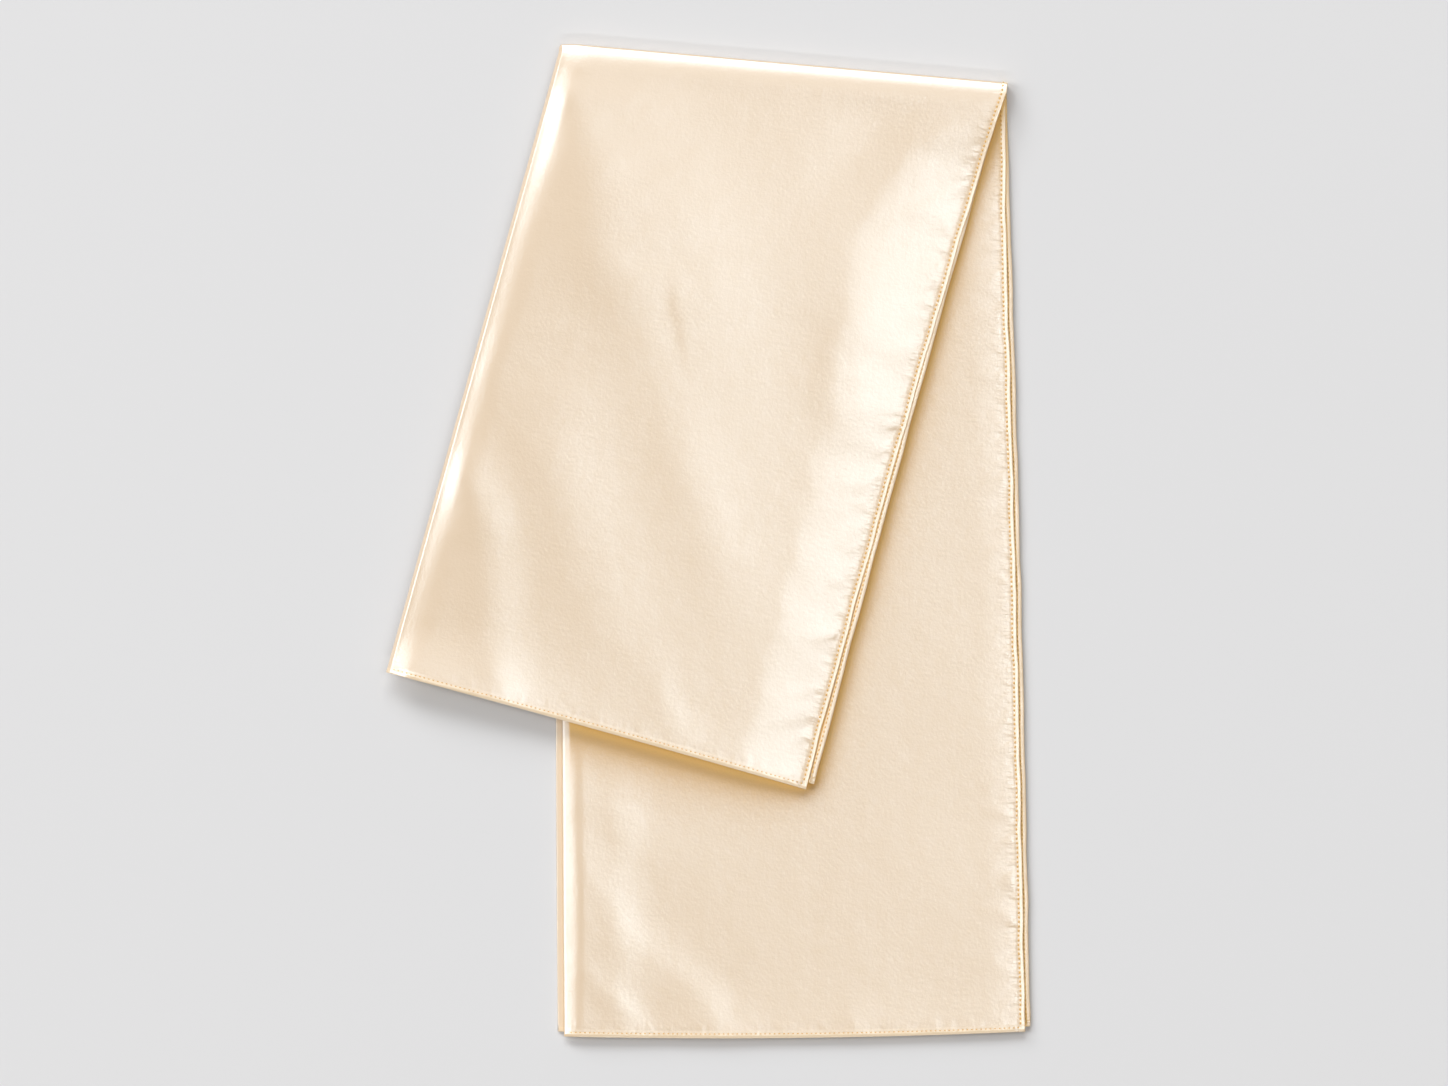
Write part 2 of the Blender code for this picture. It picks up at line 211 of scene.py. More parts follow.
# Soft ridges, and troughs where the heights are negative, in millimetres: a route over
# the cloth, the widths of the flanks on the left and right of the route as it's followed,
# and the heights at even steps along it. They are low at the left folds, and all relief
# fades out at the top fold.
CREASES_LOW = 0.25
CREASES_FULL = 12.0
RELIEF_FULL = 25.0
CREASES = {
    "upper": (
        # the long swell that runs from the top fold down to the free end, high over its left side
        dict(
            route=((-37, 223), (-35, 155), (-26, 101), (-20, 60), (-10, 19), (4, -21), (28, -76), (50, -136)),
            left=55, right=95, heights=(0.0, 0.4, 0.6, 0.7, 0.7, 0.6, 0.4, 0.2),
        ),
        dict(
            route=((-90, 257), (-66, 237), (-57, 222), (-50, 208), (-40, 193), (-30, 176), (-24, 150)),
            left=42, right=22, heights=(0.7, 1.1, 1.4, 1.45, 1.25, 1.0, 0.5),
        ),
        dict(
            route=((-92, 245), (-80, 225), (-70, 203), (-63, 180), (-56, 155), (-45, 136), (-37, 114)),
            left=20, right=20, heights=(1.1, 1.25, 1.25, 1.15, 1.0, 0.8, 0.4),
        ),
        dict(
            route=((-32, 104), (-22, 71), (-14, 46), (-5, 19), (4, -8), (12, -32)),
            left=18, right=18, heights=(0.1, 0.35, 0.45, 0.4, 0.3, 0.1),
        ),
        # the hollow that slants from the right end of the top fold
        dict(
            route=((112, 248), (93, 226), (74, 204), (50, 177), (33, 158)),
            left=18, right=18, heights=(-0.4, -0.5, -0.35, -0.15, 0.0),
        ),
        # a short one beside the hem, half way down
        dict(
            route=((84, 134), (76, 108), (68, 84), (60, 58)),
            left=30, right=13, heights=(0.0, 0.3, 0.3, 0.0),
        ),
        # two that run down the left side to the free end
        dict(
            route=((-89, 98), (-85, 74), (-85, 46), (-77, 19), (-69, -8), (-56, -35), (-43, -65), (-32, -92)),
            left=26, right=26, heights=(0.1, 0.5, 0.9, 0.9, 0.7, 0.6, 0.4, 0.3),
        ),
        dict(
            route=((-141, 57), (-134, 36), (-125, 19), (-121, 0), (-119, -21), (-119, -49), (-118, -81)),
            left=16, right=15, heights=(0.3, 1.1, 1.1, 0.7, 0.7, 0.5, 0.4),
        ),
        # small ones along the free end, and its raised left corner
        dict(
            route=((-29, -68), (-24, -89), (-13, -108)),
            left=8, right=11, heights=(0.1, 0.25, 0.2),
        ),
        dict(
            route=((-115, -72), (-111, -81)),
            left=8, right=8, heights=(0.3, 0.35),
        ),
        dict(
            route=((-138, -42), (-132, -88)),
            left=40, right=60, heights=(0.0, 1.5),
        ),
        dict(
            route=((-176, -49), (-172, -87)),
            left=30, right=75, heights=(0.0, 3.0),
        ),
    ),
    "lower": (
        # the roll along the left folds
        dict(
            route=((-77, -80), (-77, -150), (-78, -210), (-79, -270)),
            left=14, right=12, heights=(0.6, 0.7, 0.75, 0.7),
        ),
        dict(
            route=((-52, -95), (-52, -150), (-53, -210), (-54, -265)),
            left=14, right=26, heights=(0.3, 0.55, 0.65, 0.65),
        ),
        dict(
            route=((-73, -167), (-62, -189), (-55, -207), (-37, -224), (-15, -241), (-2, -255), (7, -272)),
            left=12, right=26, heights=(0.3, 0.5, 0.45, 0.45, 0.5, 0.6, 0.6),
        ),
        dict(
            route=((-70, -133), (-54, -149), (-32, -166), (-5, -178)),
            left=12, right=20, heights=(0.15, 0.3, 0.2, 0.05),
        ),
        dict(
            route=((-73, -229), (-59, -243), (-45, -257), (-37, -269)),
            left=7, right=10, heights=(0.15, 0.25, 0.3, 0.3),
        ),
        dict(
            route=((76, -242), (80, -268)),
            left=7, right=8, heights=(0.0, 0.2),
        ),
        dict(
            route=((20, -242), (24, -268)),
            left=6, right=7, heights=(0.0, 0.15),
        ),
    ),
}
ROUTE_STEPS = 5

# The satin's tones: in the open, over a hem, where it's shut in, and deep in a gap. The last
# two are painted light and shade: a painted shade of deeper gold and little sheen where it's
# shut in, and deep in a gap a painted golden glow that stands in for its own reflections.
# They are painted by how much of the sky near by is hidden, where the cloth faces up. They
# are held back over the hems and beside the left folds, and on the layers folded in.
TONES = dict(
    open=dict(colour=(0.86, 0.605, 0.35, 1.0), sheen=(0.74, 0.88, 0.98, 1.0)),
    hem=dict(colour=(0.92, 0.66, 0.38, 1.0), sheen=(0.84, 0.93, 0.96, 1.0)),
    # painted shade where the cloth is shut in
    painted_shade=dict(colour=(0.62, 0.43, 0.24, 1.0), sheen=(0.26, 0.18, 0.09, 1.0)),
    # painted glow deep in a gap, standing in for the satin's own reflections
    gap=dict(colour=(0.98, 0.66, 0.24, 1.0), sheen=(0.50, 0.33, 0.11, 1.0)),
)
SATIN_ROUGHNESS = 0.33
PAINTED_SHADE_ROUGHNESS = 0.8
HEM_TONE_ENDS = (2.9, 2.1)
HEM_PAINTED_SHADE = 0.15
SATIN_IOR = 2.5
SKY_REACH = 40.0
SKY_SAMPLES = 10
PAINTED_SHADE_SKY = (1.0, 0.9)
PAINTED_GLOW_SKY = (0.85, 0.6)
FACES_UP = (0.8, 0.97)
LEFT_FOLD_ENDS = (3.2, 4.6)
LEFT_FOLD_PAINTED_SHADE = 0.15

# Relief too fine for the mesh: slubs in the satin, and the small puckers that the
# stitches draw in the cloth within some reach of a seam.
SLUBS = (dict(size=1.5, height=0.045), dict(size=12.0, height=0.09))
FIBRE_SIZE = (0.15, 3.0)
FIBRE_HEIGHT = 0.004
PINCH_SIZE = (11.0, 3.2)
PINCH_HEIGHT = 0.3
PINCH_GROWS = (1.0, 2.8)
PINCH_FADES = (3.5, 11.0)
END_PINCH_SHARE = 0.4

# A distance from the hems that stands for none near by, and the width over which the
# fine relief gives way where a side hem's and an end hem's meet.
NO_HEM_NEAR = 60.0
HEM_CORNER = 2.0

# Slow swells all over the cloth: how many, how far apart their crests are, how high they
# are for each 100 mm of that, and how far their ways turn from the strip's width.
SWELL_TURN = 0.6
SWELLS = {
    "upper": dict(count=7, wave=(45.0, 110.0), height=0.03),
    "lower": dict(count=7, wave=(45.0, 110.0), height=0.02),
}

# Uneven edges and folds are the sum of a few waves, each lower the shorter it is.
WOBBLE_OCTAVES = (1.0, 1.7, 2.9)
WOBBLE_SUM = 1.6

# Puckers that the seam of a side hem draws in the cloth beside it: each grows over the
# first share of its reach, then fades.
PUCKER_CREST = 0.35
PUCKER_LEAD = 1.0
PUCKER_SLANT = (-0.3, 0.8)
PUCKERS_STOP = 6.0
PUCKERS = {
    "upper": (
        dict(first=14.0, spacing=(6.0, 12.0), reach=(3.5, 8.0), width=(1.3, 2.4), height=(0.10, 0.34)),
        dict(first=46.0, spacing=(15.0, 27.0), reach=(11.0, 24.0), width=(4.0, 6.5), height=(0.08, 0.26)),
    ),
    "lower": (
        dict(first=20.0, spacing=(6.0, 14.0), reach=(3.0, 6.0), width=(1.4, 2.6), height=(0.06, 0.22)),
        dict(first=70.0, spacing=(17.0, 40.0), reach=(6.0, 14.0), width=(2.6, 5.0), height=(0.05, 0.18)),
    ),
}

# The studio, in metres and watts: each softbox's direction from the scarf, its size and
# its power, then the room's light, the floor and the camera.
SOFTBOX_DISTANCE = 20.0
SOFTBOXES = (
    ("top softbox", (-0.15, 0.70, 0.70), (14.0, 7.4), 2010.0),
    ("upper softbox", (0.0, 0.36, 0.93), (14.0, 5.0), 60.0),
    ("low softbox", (-0.55, 0.72, 0.42), (10.0, 5.0), 1060.0),
    ("left softbox", (-0.68, 0.12, 0.72), (7.4, 14.0), 1460.0),
    ("right softbox", (0.257, 0.0, 0.966), (3.0, 6.6), 412.0),
    ("fill softbox", (0.12, 0.20, 0.97), (8.0, 3.0), 88.0),
    ("front softbox", (0.0, -0.66, 0.75), (14.0, 1.6), 620.0),
)
ROOM_COLOUR = (1.0, 0.90, 0.78, 1.0)
ROOM_STRENGTH = 0.18
FLOOR_COLOUR = (0.695, 0.704, 0.722, 1.0)
FLOOR_REACH = 4.0
THREAD_COLOUR = (0.74, 0.47, 0.17, 1.0)
CAMERA_PLACE = (0.0084, -0.0014, 10.0)
FRAME_WIDTH = 0.7874
SENSOR_WIDTH = 36.0


def smooth_step(value):
    value = np.clip(value, 0.0, 1.0)
    return value * value * (3.0 - 2.0 * value)


def mix(start, end, share):
    return start + (end - start) * share


def nearness(distance, width):
    """1 at no distance, falling evenly to 0 at the width."""
    return np.clip(1.0 - distance / width, 0.0, 1.0)


def soft_ramp(value, corner):
    """The value where it is over 0, and 0 below it, with a rounded corner."""
    return 0.5 * (value + np.sqrt(value**2 + corner**2 / 4.0)) - 0.25 * corner * np.exp(-(value**2))


def bow_shape(share):
    """A parabola that is 0 at both ends and 1 in the middle."""
    return 4.0 * share * (1.0 - share)


def unit(vectors):
    return vectors / np.linalg.norm(vectors, axis=-1, keepdims=True)


def graded(*stretches):
    """Places along a line: each stretch is (start, stop, step), joined end to end."""
    places = [stretches[0][0]]
    for start, stop, step in stretches:
        count = max(1, math.ceil(abs(stop - start) / step))
        places.extend(start + (stop - start) * (index + 1) / count for index in range(count))
    return np.array(places)


def wobble(place, seed, wave):
    """A smooth uneven curve between about -1 and 1, with bumps about a wave apart."""
    draw = random.Random(seed)
    total = np.zeros_like(place, dtype=float)
    for octave in WOBBLE_OCTAVES:
        phase = draw.uniform(0.0, 2.0 * math.pi)
        total += np.sin(2.0 * math.pi * place * octave / wave + phase) / octave
    return total / WOBBLE_SUM


FOLD_ALONG = unit(FOLD_RIGHT - FOLD_LEFT)
FOLD_OUT = np.array((-FOLD_ALONG[1], FOLD_ALONG[0]))
AXIS = dict(
    left=FOLD_LEFT - FOLD_OUT * TURN_RADIUS,
    right=FOLD_RIGHT - FOLD_OUT * TURN_RADIUS,
)
RUN_LENGTH = {run: float(np.linalg.norm(RUN_ENDS[run]["left"] - AXIS["left"])) for run in RUN_ENDS}


def side_points(run, side, along):
    """Points on a run's left or right outline."""
    points = mix(AXIS[side], RUN_ENDS[run][side], along[..., None])
    points[..., 0] += BOWS[run][side] * bow_shape(along)
    return points


def route_points(route):
    """A smooth line through a crease's few points."""
    ends = [np.array(point, dtype=float) for point in route]
    ends = [2 * ends[0] - ends[1]] + ends + [2 * ends[-1] - ends[-2]]
    line = []
    for before, start, stop, after in zip(ends, ends[1:], ends[2:], ends[3:]):
        for step in range(ROUTE_STEPS):
            t = step / ROUTE_STEPS
            line.append(
                0.5
                * (
                    2 * start
                    + (stop - before) * t
                    + (2 * before - 5 * start + 4 * stop - after) * t**2
                    + (3 * start - before - 3 * stop + after) * t**3
                )
            )
    return line + [ends[-2]]


def crease_height(crease, spots):
    """Height of one ridge over spots on the floor; its two flanks may differ in width."""
    line = route_points(crease["route"])
    lengths = [np.linalg.norm(stop - start) for start, stop in zip(line, line[1:])]
    nearest = np.full(spots.shape[:-1], np.inf)
    place = np.zeros(spots.shape[:-1])
    side = np.zeros(spots.shape[:-1])
    passed = 0.0
    for start, stop, length in zip(line, line[1:], lengths):
        direction = (stop - start) / length
        away = spots - start
        share = np.clip(away @ direction, 0.0, length)
        gap = away - share[..., None] * direction
        distance = np.linalg.norm(gap, axis=-1)
        closer = distance < nearest
        nearest = np.where(closer, distance, nearest)
        place = np.where(closer, (passed + share) / sum(lengths), place)
        side = np.where(closer, direction[0] * gap[..., 1] - direction[1] * gap[..., 0], side)
        passed += length
    flank = np.where(side > 0.0, crease["left"], crease["right"])
    heights = np.array(crease["heights"])
    step = place * (len(heights) - 1)
    first = np.minimum(step.astype(int), len(heights) - 2)
    height = mix(heights[first], heights[first + 1], smooth_step(step - first))
    return height * np.exp(-((nearest / flank) ** 2))


def swell_height(run, spots):
    """Slow waves, most of them with crests that run along the strip."""
    rule = SWELLS[run]
    draw = random.Random(run + "swells")
    total = np.zeros(spots.shape[:-1])
    for _ in range(rule["count"]):
        wave = draw.uniform(*rule["wave"])
        way = draw.gauss(0.0, SWELL_TURN)
        phase = draw.uniform(0.0, 2.0 * math.pi)
        travel = spots[..., 0] * math.cos(way) + spots[..., 1] * math.sin(way)
        total += rule["height"] * wave / 100.0 * np.sin(2.0 * math.pi * travel / wave + phase)
    return total


def pucker_table(run):
    """Places of the puckers along a side hem, uneven in spacing, length and depth."""
    table = []
    for size, rule in enumerate(PUCKERS[run]):
        draw = random.Random(run + str(size))
        place = rule["first"]
        while place < RUN_LENGTH[run] - PUCKERS_STOP:
            table.append(
                dict(
                    place=place,
                    reach=draw.uniform(*rule["reach"]),
                    width=draw.uniform(*rule["width"]),
                    height=draw.uniform(*rule["height"]),
                    slant=draw.uniform(*PUCKER_SLANT),
                )
            )
            place += draw.uniform(*rule["spacing"])
    return table


def pucker_height(run, from_edge, from_fold):
    """Relief that a side hem's seam draws: small ridges square to the hem."""
    total = np.zeros_like(from_edge + from_fold)
    inside = from_edge - HEM_WIDTH
    for pucker in pucker_table(run):
        line = pucker["place"] + pucker["slant"] * inside
        across = np.exp(-(((from_fold - line) / pucker["width"]) ** 2))
        crest = PUCKER_CREST * pucker["reach"]
        grow = smooth_step((inside + PUCKER_LEAD) / (crest + PUCKER_LEAD))
        fade = np.exp(-((np.maximum(inside - crest, 0.0) / pucker["reach"]) ** 2))
        total += pucker["height"] * across * grow * fade
    return total


def hem_profile(from_edge, place="side"):
    """The turned hem under the cloth: it stands a little proud, with a groove along the
    seam, and falls towards the edge."""
    proud = HEM_PROUD * smooth_step((HEM_WIDTH + HEM_RISE_WIDTH / 2 - from_edge) / HEM_RISE_WIDTH)
    groove = GROOVE_DEPTH * np.exp(-(((from_edge - STITCH_INSET) / GROOVE_WIDTH) ** 2))
    fall = HEM_FALL[place] * nearness(from_edge, HEM_FALL_WIDTH[place]) ** HEM_FALL_POWER[place]
    return proud - groove - fall


def sink_easing(from_fold):
    """0 near the top fold and 1 away from it, for what changes along the upper run."""
    return smooth_step((from_fold - SINK_EASES[0]) / (SINK_EASES[1] - SINK_EASES[0]))


def hem_curl(cloth, from_fold, from_right):
    """How far the hem behind a cloth's face curls towards the hem over it."""
    rule = HEM_CURL[cloth]
    curl = mix(rule["first"], rule["last"], sink_easing(from_fold))
    curl = curl * nearness(from_right, HEM_CURL_WIDTH) ** 2
    uneven = wobble(from_fold, cloth + "curl", HEM_CURL_WAVE)
    curl = curl * (1.0 - HEM_CURL_WOBBLE * (1.0 - uneven))
    curl = curl - rule["turns"] * np.clip(HEM_CURL_CREST - from_right, 0.0, None)
    return curl * smooth_step(from_fold / HEM_CURL_STARTS) + hem_profile(from_right)


def side_sink(from_fold, from_right):
    """How far the upper run's top layer sinks beside its hem."""
    places = np.array([lobe["place"] for lobe in SINK_LOBES], dtype=float)
    widths = np.array([lobe["width"] for lobe in SINK_LOBES], dtype=float)
    after = np.clip(np.searchsorted(places, from_fold), 1, len(places) - 1)
    share = smooth_step((from_fold - places[after - 1]) / (places[after] - places[after - 1]))
    width = mix(widths[after - 1], widths[after], share)
    share = (np.maximum(from_right, SINK_TO) - SINK_TO) / (width - SINK_TO)
    depth = mix(SINK_DEPTH["first"], SINK_DEPTH["last"], sink_easing(from_fold))
    return depth * np.clip(1.0 - share, 0.0, None) ** SINK_POWER


def relief(run, spots, from_left, from_right, along):
    """How far the cloth that faces up stands over its flat place."""
    from_fold = along * RUN_LENGTH[run]
    from_end = (1.0 - along) * RUN_LENGTH[run]
    folds = swell_height(run, spots) + sum(crease_height(crease, spots) for crease in CREASES[run])
    folds = folds * mix(CREASES_LOW, 1.0, smooth_step(from_left / CREASES_FULL))
    sink = side_sink(from_fold, from_right) if run == "upper" else 0.0
    sink = sink * smooth_step(along / SINK_FULL)
    settle = smooth_step(from_fold / RELIEF_FULL)
    edge = pucker_height(run, from_right, from_fold) + hem_profile(from_right)
    edge = edge - EDGE_FALL[run] * nearness(from_right, EDGE_FALL_WIDTH) ** 2
    end = END_RISE[run] * nearness(from_end, END_RISE_WIDTH) ** 2
    return (folds - sink + edge + end) * settle + hem_profile(from_end, "end")


def run_lift(across_share, along):
    """How far the upper run rises and sinks from where the top fold holds it."""
    left_sink = LEFT_SINK * nearness(across_share, LEFT_SINK_SHARE) ** 2
    lift = STAND_OFF * smooth_step(along / STAND_OFF_FULL)
    lift = lift + mix(LIFT_LEFT, LIFT_RIGHT, across_share) * smooth_step(along / LIFT_FULL)
    return lift - left_sink * smooth_step(along / LEFT_SINK_FULL)


def make_columns(cloth):
    """Columns across a cloth, from its hem's turning, over its face to the left fold and
    back under it. c = fixed + share * width is the distance from the left fold."""
    outward = OUTWARD[cloth]
    face = FACE_RISE[cloth]
    nose_left = NOSE_RADIUS * (1.0 - math.sin(NOSE_START))
    rows = []

    def add(fixed, share, rise, facing, part, inner=0.0, depth=0.0):
        rows.append((fixed, share, rise, facing, part, inner, depth))

    for q in (HEM_WIDTH, HEM_WIDTH / 2):
        add(-q, 1.0, face, 1.0, 0, depth=2.0 * SIDE_ROLL)
    for step in range(ROLL_STEPS):
        theta = math.pi * (1.0 - step / ROLL_STEPS)
        fixed = -SIDE_ROLL + SIDE_ROLL * math.sin(theta)
        add(fixed, 1.0, face, 1.0, 0, depth=SIDE_ROLL * (1.0 - math.cos(theta)))
    close, close_step = BESIDE_HEM["close"]
    near, near_step = BESIDE_HEM["near"]
    far, far_step = BESIDE_HEM["far"]
    stretches = (SIDE_ROLL, close, close_step), (close, near, near_step), (near, far, far_step)
    for q in graded(*stretches)[:-1]:
        add(-q, 1.0, face, 1.0, 1)
    close, close_step = BESIDE_LEFT["close"]
    near, near_step = BESIDE_LEFT["near"]
    count = math.ceil(FACE_SPAN / FINE_STEP)
    for step in range(count + 1):
        share = 1.0 - step / count
        add(near * (1.0 - share) - far * share, share, face, 1.0, 1)
    for q in graded((near, close, near_step), (close, nose_left, close_step))[1:-1]:
        add(q, 0.0, face, 1.0, 1)
    for step in range(NOSE_STEPS + 1):
        theta = mix(NOSE_START, math.pi, step / NOSE_STEPS)
        fixed = NOSE_RADIUS * (1.0 - math.sin(theta))
        rise = face + outward * NOSE_RADIUS * (math.cos(theta) - math.cos(NOSE_START))
        add(fixed, 0.0, rise, (1.0 + math.cos(theta)) / 2, 2)
    for q in BACK_PLACES:
        add(q, 0.0, BACK_RISE[cloth], 0.0, 3)
    for step in range(1, BACK_STEPS + 1):
        share = step / BACK_STEPS
        add(BACK_PLACES[-1] * (1.0 - share), share, BACK_RISE[cloth], 0.0, 3, inner=1.0)
    if cloth == "inner":
        middle = (BACK_RISE["outer"] + BACK_RISE["inner"]) / 2
        for step in range(1, ROLL_STEPS + 1):
            theta = math.pi * step / ROLL_STEPS
            rise = middle - INNER_FOLD_ROLL * math.cos(theta)
            add(INNER_FOLD_ROLL * math.sin(theta), 1.0, rise, 0.0, 3, inner=1.0)
    return column_table(rows)


def column_table(rows):
    """Columns as named arrays. A part is 0 at the turned hem, 1 on the face, 2 at the left
    fold's nose and 3 on the layer folded in."""
    names = ("fixed", "share", "rise", "facing", "part", "inner", "depth")
    return {name: np.array(values, dtype=float) for name, values in zip(names, zip(*rows))}


def row_table(rows):
    """Rows as named arrays. The angle goes around the top fold, and extra and depth are a
    row's places past the end and inside the cloth at a turned end."""
    names = ("run", "along", "angle", "extra", "depth", "turned")
    return {name: np.array(values) for name, values in zip(names, zip(*rows))}


def right_edge_inset(cloth, run, along):
    """How far a cloth's right edge stays inside the strip's outline."""
    settled = smooth_step(along / RIGHT_SETTLES) if run == "lower" else along**RIGHT_SLIPS
    inset = mix(RIGHT_AT_FOLD[cloth], INSETS[cloth, run]["right"], settled)
    uneven = wobble(along * RUN_LENGTH[run], cloth + run + "edge", EDGE_WAVE)
    return inset + EDGE_WOBBLE * (uneven + 1.0) * smooth_step(along / EDGE_WOBBLE_FULL)


def fold_rows():
    """Rows around the top fold, from the lower run to the upper one."""
    angles = [math.pi * (step / FOLD_STEPS - 0.5) for step in range(FOLD_STEPS + 1)]
    return [("lower" if angle < 0.0 else "upper", 0.0, angle, 0.0, 0.0, 0) for angle in angles]


def make_rows(cloth):
    """Rows along a cloth, from the lower run's turned end, over the top fold, to the
    upper run's turned end."""

    def run_rows(run, sign):
        length = RUN_LENGTH[run] - INSETS[cloth, run]["end"]
        shown = run == FACE_RUN[cloth]
        start, start_step = BESIDE_FOLD
        near, near_step = BESIDE_END["near"]
        near = length - near
        close = length - BESIDE_END["close"]
        flat = graded(
            (0.0, start, start_step),
            (start, near, FINE_STEP if shown else HIDDEN_STEP),
            (near, close, near_step),
            (close, length - END_ROLL, END_STEPS["shown" if shown else "hidden"]),
        )[1:]
        angle = sign * math.pi / 2
        found = [(run, place / RUN_LENGTH[run], angle, 0.0, 0.0, 0) for place in flat]
        last = (length - END_ROLL) / RUN_LENGTH[run]
        for step in range(1, ROLL_STEPS + 1):
            theta = math.pi * step / ROLL_STEPS
            depth = END_ROLL * (1.0 - math.cos(theta))
            found.append((run, last, angle, END_ROLL * math.sin(theta), depth, 1))
        for q in (HEM_WIDTH / 2, HEM_WIDTH):
            along = (length - END_ROLL - q) / RUN_LENGTH[run]
            found.append((run, along, angle, 0.0, 2.0 * END_ROLL, 1))
        return found

    return row_table(run_rows("lower", -1.0)[::-1] + fold_rows() + run_rows("upper", 1.0))


def layer_rise(cloth, columns, rows, c, from_fold, upper_share):
    """A cloth's rise over the middle plane between the runs, with its left fold."""
    outward = OUTWARD[cloth]
    part = columns["part"][None, :]

    def left_fold(name):
        lower_value = LEFT_FOLDS[cloth, "lower"][name]
        return mix(lower_value, LEFT_FOLDS[cloth, "upper"][name], upper_share)[:, None]

    fall_width = left_fold("width") * (1.0 + FALL_WOBBLE * wobble(from_fold, cloth + "fall", FALL_WAVE))
    fall = left_fold("fall") * nearness(c, fall_width) ** 2
    fall = fall + left_fold("drop") * soft_ramp(1.0 - c / left_fold("bevel"), BEVEL_CORNER)
    edge = left_fold("fall") + left_fold("drop")
    nose_bottom = FACE_RISE[cloth] - outward * (edge + NOSE_RADIUS * (1.0 + math.cos(NOSE_START)))
    back_fall = (nose_bottom - BACK_RISE[cloth]) * nearness(c, BACK_FALL_WIDTH) ** 2
    rise = columns["rise"][None, :] - outward * np.where(part <= 1, fall, np.where(part == 2, edge, 0.0))
    rise = rise + np.where((part == 3) & (columns["inner"][None, :] < 0.5), back_fall, 0.0)
    inside = np.where(part <= 1, -outward, np.where(part == 3, outward, 0.0))
    return rise + inside * (columns["depth"][None, :] + rows["depth"][:, None])


def flat_places(cloth, columns, rows, c, width, from_fold):
    """Each point's place on the flat cut, and its distances from the nearest hem's edge
    and along that hem."""
    part = columns["part"][None, :]
    upper = rows["run"] == "upper"
    run_sign = np.where(upper, 1.0, -1.0)[:, None]
    cut = np.stack([np.where(part <= 1, c, -c), run_sign * from_fold + np.zeros_like(c)], axis=-1)
    ends = {run: RUN_LENGTH[run] - INSETS[cloth, run]["end"] for run in RUN_LENGTH}
    from_end = np.where(upper, ends["upper"], ends["lower"])[:, None] - from_fold
    from_side = np.where(part <= 1, width - c, NO_HEM_NEAR)
    corner = NO_HEM_NEAR * np.exp(-(((from_side - from_end) / HEM_CORNER) ** 2)) * (from_side > HEM_WIDTH)
    side_hem = np.stack([from_side + corner, cut[..., 1]], axis=-1)
    end_hem = np.stack([from_end + corner, c * END_PINCH_SHARE], axis=-1)
    return cut, np.where((from_side < from_end)[..., None], side_hem, end_hem)


def cloth_points(cloth, columns, rows):
    """The middle surface of a cloth: an array of rows by columns of points, with their
    flat places."""
    face_run = FACE_RUN[cloth]
    shows = (rows["run"] == face_run)[:, None]
    upper = rows["run"] == "upper"
    along = rows["along"]
    angle = rows["angle"][:, None]
    upper_share = (1.0 + np.sin(rows["angle"])) / 2

    def by_run(function):
        """A value for each row, from its own run."""
        lower_value = function("lower")
        upper_value = function("upper")
        chosen = upper.reshape((-1,) + (1,) * (np.ndim(lower_value) - 1))
        return np.where(chosen, upper_value, lower_value)

    left = by_run(lambda run: side_points(run, "left", along))
    right = by_run(lambda run: side_points(run, "right", along))
    across = unit(right - left)
    left_inset = mix(INSETS[cloth, "lower"]["left"], INSETS[cloth, "upper"]["left"], upper_share)
    right_inset = by_run(lambda run: right_edge_inset(cloth, run, along))
    outline = np.linalg.norm(right - left, axis=-1)
    width = (outline - left_inset - right_inset)[:, None]
    inner_width = (outline - left_inset - INNER_FOLD_INSET)[:, None]
    left = left + across * left_inset[:, None]
    used = np.where(columns["inner"][None, :] > 0.5, inner_width, width)
    c = columns["fixed"][None, :] + columns["share"][None, :] * used
    from_fold = (along * by_run(lambda run: np.full(len(along), RUN_LENGTH[run])))[:, None]

    # around the top fold, and along the runs to the bowed ends
    rise = layer_rise(cloth, columns, rows, c, from_fold, upper_share)
    fold_out = np.abs(np.cos(angle)) ** (2.0 / FOLD_SQUARE) * (np.abs(np.cos(angle)) > 1e-6)
    fold_up = np.sign(np.sin(angle)) * np.abs(np.sin(angle)) ** (2.0 / FOLD_SQUARE)
    from_edge = from_fold + TURN_RADIUS * (1.0 - fold_out)
    slack = FOLD_SLACK * nearness(from_edge, FOLD_SLACK_WIDTH) ** 2
    shrink = 1.0 - slack * upper_share[:, None] / TURN_RADIUS
    spots = left[:, None, :] + across[:, None, :] * c[..., None] + FOLD_OUT * (fold_out * rise)[..., None]
    run_way = by_run(lambda run: np.tile(unit(RUN_ENDS[run]["left"] - AXIS["left"]), (len(along), 1)))
    spots = spots + run_way[:, None, :] * rows["extra"][:, None, None]
    end_bow = by_run(lambda run: np.full(len(along), BOWS[run]["end"]))[:, None]
    spots[..., 1] += end_bow * bow_shape(c / outline[:, None]) * (along**2)[:, None]

    # the height, with relief on the run that shows and a curled hem on the other one
    facing = columns["facing"][None, :]
    height = TURN_RADIUS + rise * shrink * fold_up
    height = height + np.where(upper[:, None], run_lift(c / outline[:, None], along[:, None]), 0.0)
    raised = relief(face_run, spots, c, width - c, np.broadcast_to(along[:, None], c.shape))
    height = height + raised * facing * shows
    height = height + hem_curl(cloth, from_fold, width - c) * facing * ~shows
    height = np.maximum(height, SATIN / 2)
    points = np.concatenate([spots, height[..., None]], axis=-1)
    return points, *flat_places(cloth, columns, rows, c, width, from_fold)


